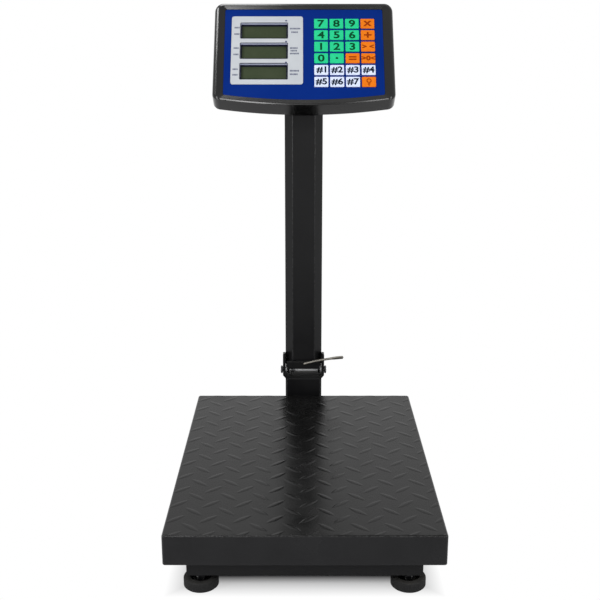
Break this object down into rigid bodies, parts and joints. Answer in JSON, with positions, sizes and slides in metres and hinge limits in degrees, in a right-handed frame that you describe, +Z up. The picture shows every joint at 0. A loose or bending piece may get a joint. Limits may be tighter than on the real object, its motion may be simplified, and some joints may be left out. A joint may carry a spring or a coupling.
{
  "type": "platform shipping scale",
  "caption": "Platform scale: a sheet-steel pan on a load cell and levelling feet, with a keypad and display head on a column that folds back.",
  "frame": {"origin": "on the floor, in the middle of the footprint's box", "axes": "+X to the user's right, -Y towards the user at the pan's front edge, +Z up"},
  "size_m": [0.3, 0.49, 0.6094],
  "materials": {
    "black_paint": "satin",
    "black_plastic": "gloss",
    "switch_plastic": "matte",
    "rubber": "matte",
    "bright_steel": "zinc plated",
    "dark_steel": "blackened",
    "aluminium": "anodised",
    "blue_film": "satin film",
    "silver_panel": "satin",
    "lcd_glass": "clear gloss",
    "board_green": "satin",
    "battery_case": "matte",
    "key_green": "satin film",
    "key_orange": "satin film",
    "key_white": "satin film"
  },
  "bodies": {
    "base": {"base_frame": "black_paint", "cell_spacer": "bright_steel", "load_cell": "aluminium", "weigh_frame": "black_paint", "column_stub": "black_paint", "fold_bracket": "black_paint", "hinge_pin": "bright_steel", "latch_rod": "bright_steel", "rod_nut_left": "dark_steel", "rod_nut_right": "dark_steel", "latch_spring": "bright_steel"},
    "column": {"column_tube": "black_paint", "hinge_knuckle": "black_paint", "head_yoke": "black_paint"},
    "head": {"head_front_shell": "black_plastic", "head_back_shell": "black_plastic", "keypad_overlay": "blue_film", "display_panel": "silver_panel", "lcd_module": "lcd_glass", "main_board": "board_green", "battery": "battery_case", "charge_socket": "dark_steel", "tilt_pin": "dark_steel", "tilt_nut": "dark_steel"},
    "latch": {"latch_pawl": "black_paint", "latch_handle": "bright_steel"},
    "pan": {"pan": "black_paint"},
    "rocker": {"power_switch": "switch_plastic"},
    "foot_1": {"foot_pad_1": "rubber"},
    "foot_2": {"foot_pad_2": "rubber"},
    "foot_3": {"foot_pad_3": "rubber"},
    "foot_4": {"foot_pad_4": "rubber"},
    "stud_1": {"foot_stud_1": "bright_steel"},
    "stud_2": {"foot_stud_2": "bright_steel"},
    "stud_3": {"foot_stud_3": "bright_steel"},
    "stud_4": {"foot_stud_4": "bright_steel"},
    "key_7": {"key_7": "key_green"},
    "key_8": {"key_8": "key_green"},
    "key_9": {"key_9": "key_green"},
    "key_clear": {"key_clear": "key_orange"},
    "key_4": {"key_4": "key_green"},
    "key_5": {"key_5": "key_green"},
    "key_6": {"key_6": "key_green"},
    "key_add": {"key_add": "key_orange"},
    "key_1": {"key_1": "key_green"},
    "key_2": {"key_2": "key_green"},
    "key_3": {"key_3": "key_green"},
    "key_tare": {"key_tare": "key_orange"},
    "key_0": {"key_0": "key_green"},
    "key_point": {"key_point": "key_green"},
    "key_total": {"key_total": "key_orange"},
    "key_zero": {"key_zero": "key_orange"},
    "key_memory_1": {"key_memory_1": "key_white"},
    "key_memory_2": {"key_memory_2": "key_white"},
    "key_memory_3": {"key_memory_3": "key_white"},
    "key_memory_4": {"key_memory_4": "key_white"},
    "key_memory_5": {"key_memory_5": "key_white"},
    "key_memory_6": {"key_memory_6": "key_white"},
    "key_memory_7": {"key_memory_7": "key_white"},
    "key_light": {"key_light": "key_orange"}
  },
  "joints": [
    {"name": "column_fold", "type": "hinge", "parent": "base", "child": "column", "pos_m": [0, 0.21, 0.105], "axis": [-1, 0, 0], "range_deg": [0, 90]},
    {"name": "head_tilt", "type": "hinge", "parent": "column", "child": "head", "pos_m": [0, 0.2, 0.4953], "axis": [1, 0, 0], "range_deg": [-25, 15]},
    {"name": "latch_release", "type": "hinge", "parent": "base", "child": "latch", "pos_m": [0, 0.188, 0.0995], "axis": [1, 0, 0], "range_deg": [-6, 18], "stiffness_Nm_per_rad": 0.1, "springref_deg": -1.8, "deforming": ["latch_spring"]},
    {"name": "pan_lift", "type": "slide", "parent": "base", "child": "pan", "axis": [0, 0, 1], "range_m": [0, 0.04]},
    {"name": "power_rocker", "type": "hinge", "parent": "head", "child": "rocker", "pos_m": [0.066, 0.18912, 0.50074], "axis": [1, 0, 0], "range_deg": [-8, 8]},
    {"name": "foot_travel_1", "type": "slide", "parent": "base", "child": "foot_1", "axis": [0, 0, 1], "range_m": [-0.008, 0]},
    {"name": "foot_turn_1", "type": "hinge", "parent": "foot_1", "child": "stud_1", "pos_m": [-0.112, -0.22, 0], "axis": [0, 0, 1], "range_deg": [-2308, 0]},
    {"name": "foot_travel_2", "type": "slide", "parent": "base", "child": "foot_2", "axis": [0, 0, 1], "range_m": [-0.008, 0]},
    {"name": "foot_turn_2", "type": "hinge", "parent": "foot_2", "child": "stud_2", "pos_m": [0.112, -0.22, 0], "axis": [0, 0, 1], "range_deg": [-2308, 0]},
    {"name": "foot_travel_3", "type": "slide", "parent": "base", "child": "foot_3", "axis": [0, 0, 1], "range_m": [-0.008, 0]},
    {"name": "foot_turn_3", "type": "hinge", "parent": "foot_3", "child": "stud_3", "pos_m": [0.112, 0.13, 0], "axis": [0, 0, 1], "range_deg": [-2308, 0]},
    {"name": "foot_travel_4", "type": "slide", "parent": "base", "child": "foot_4", "axis": [0, 0, 1], "range_m": [-0.008, 0]},
    {"name": "foot_turn_4", "type": "hinge", "parent": "foot_4", "child": "stud_4", "pos_m": [-0.112, 0.13, 0], "axis": [0, 0, 1], "range_deg": [-2308, 0]},
    {"name": "press_7", "type": "slide", "parent": "head", "child": "key_7", "axis": [0, 0.809, -0.5878], "range_m": [0, 0.0005], "stiffness_N_per_m": 1500, "springref_m": -0.0005},
    {"name": "press_8", "type": "slide", "parent": "head", "child": "key_8", "axis": [0, 0.809, -0.5878], "range_m": [0, 0.0005], "stiffness_N_per_m": 1500, "springref_m": -0.0005},
    {"name": "press_9", "type": "slide", "parent": "head", "child": "key_9", "axis": [0, 0.809, -0.5878], "range_m": [0, 0.0005], "stiffness_N_per_m": 1500, "springref_m": -0.0005},
    {"name": "press_clear", "type": "slide", "parent": "head", "child": "key_clear", "axis": [0, 0.809, -0.5878], "range_m": [0, 0.0005], "stiffness_N_per_m": 1500, "springref_m": -0.0005},
    {"name": "press_4", "type": "slide", "parent": "head", "child": "key_4", "axis": [0, 0.809, -0.5878], "range_m": [0, 0.0005], "stiffness_N_per_m": 1500, "springref_m": -0.0005},
    {"name": "press_5", "type": "slide", "parent": "head", "child": "key_5", "axis": [0, 0.809, -0.5878], "range_m": [0, 0.0005], "stiffness_N_per_m": 1500, "springref_m": -0.0005},
    {"name": "press_6", "type": "slide", "parent": "head", "child": "key_6", "axis": [0, 0.809, -0.5878], "range_m": [0, 0.0005], "stiffness_N_per_m": 1500, "springref_m": -0.0005},
    {"name": "press_add", "type": "slide", "parent": "head", "child": "key_add", "axis": [0, 0.809, -0.5878], "range_m": [0, 0.0005], "stiffness_N_per_m": 1500, "springref_m": -0.0005},
    {"name": "press_1", "type": "slide", "parent": "head", "child": "key_1", "axis": [0, 0.809, -0.5878], "range_m": [0, 0.0005], "stiffness_N_per_m": 1500, "springref_m": -0.0005},
    {"name": "press_2", "type": "slide", "parent": "head", "child": "key_2", "axis": [0, 0.809, -0.5878], "range_m": [0, 0.0005], "stiffness_N_per_m": 1500, "springref_m": -0.0005},
    {"name": "press_3", "type": "slide", "parent": "head", "child": "key_3", "axis": [0, 0.809, -0.5878], "range_m": [0, 0.0005], "stiffness_N_per_m": 1500, "springref_m": -0.0005},
    {"name": "press_tare", "type": "slide", "parent": "head", "child": "key_tare", "axis": [0, 0.809, -0.5878], "range_m": [0, 0.0005], "stiffness_N_per_m": 1500, "springref_m": -0.0005},
    {"name": "press_0", "type": "slide", "parent": "head", "child": "key_0", "axis": [0, 0.809, -0.5878], "range_m": [0, 0.0005], "stiffness_N_per_m": 1500, "springref_m": -0.0005},
    {"name": "press_point", "type": "slide", "parent": "head", "child": "key_point", "axis": [0, 0.809, -0.5878], "range_m": [0, 0.0005], "stiffness_N_per_m": 1500, "springref_m": -0.0005},
    {"name": "press_total", "type": "slide", "parent": "head", "child": "key_total", "axis": [0, 0.809, -0.5878], "range_m": [0, 0.0005], "stiffness_N_per_m": 1500, "springref_m": -0.0005},
    {"name": "press_zero", "type": "slide", "parent": "head", "child": "key_zero", "axis": [0, 0.809, -0.5878], "range_m": [0, 0.0005], "stiffness_N_per_m": 1500, "springref_m": -0.0005},
    {"name": "press_memory_1", "type": "slide", "parent": "head", "child": "key_memory_1", "axis": [0, 0.809, -0.5878], "range_m": [0, 0.0005], "stiffness_N_per_m": 1500, "springref_m": -0.0005},
    {"name": "press_memory_2", "type": "slide", "parent": "head", "child": "key_memory_2", "axis": [0, 0.809, -0.5878], "range_m": [0, 0.0005], "stiffness_N_per_m": 1500, "springref_m": -0.0005},
    {"name": "press_memory_3", "type": "slide", "parent": "head", "child": "key_memory_3", "axis": [0, 0.809, -0.5878], "range_m": [0, 0.0005], "stiffness_N_per_m": 1500, "springref_m": -0.0005},
    {"name": "press_memory_4", "type": "slide", "parent": "head", "child": "key_memory_4", "axis": [0, 0.809, -0.5878], "range_m": [0, 0.0005], "stiffness_N_per_m": 1500, "springref_m": -0.0005},
    {"name": "press_memory_5", "type": "slide", "parent": "head", "child": "key_memory_5", "axis": [0, 0.809, -0.5878], "range_m": [0, 0.0005], "stiffness_N_per_m": 1500, "springref_m": -0.0005},
    {"name": "press_memory_6", "type": "slide", "parent": "head", "child": "key_memory_6", "axis": [0, 0.809, -0.5878], "range_m": [0, 0.0005], "stiffness_N_per_m": 1500, "springref_m": -0.0005},
    {"name": "press_memory_7", "type": "slide", "parent": "head", "child": "key_memory_7", "axis": [0, 0.809, -0.5878], "range_m": [0, 0.0005], "stiffness_N_per_m": 1500, "springref_m": -0.0005},
    {"name": "press_light", "type": "slide", "parent": "head", "child": "key_light", "axis": [0, 0.809, -0.5878], "range_m": [0, 0.0005], "stiffness_N_per_m": 1500, "springref_m": -0.0005}
  ],
  "couplings": [
    {"joint": "foot_turn_1", "follows": "foot_travel_1", "rad_per_m": 5026.5},
    {"joint": "foot_turn_2", "follows": "foot_travel_2", "rad_per_m": 5026.5},
    {"joint": "foot_turn_3", "follows": "foot_travel_3", "rad_per_m": 5026.5},
    {"joint": "foot_turn_4", "follows": "foot_travel_4", "rad_per_m": 5026.5}
  ]
}
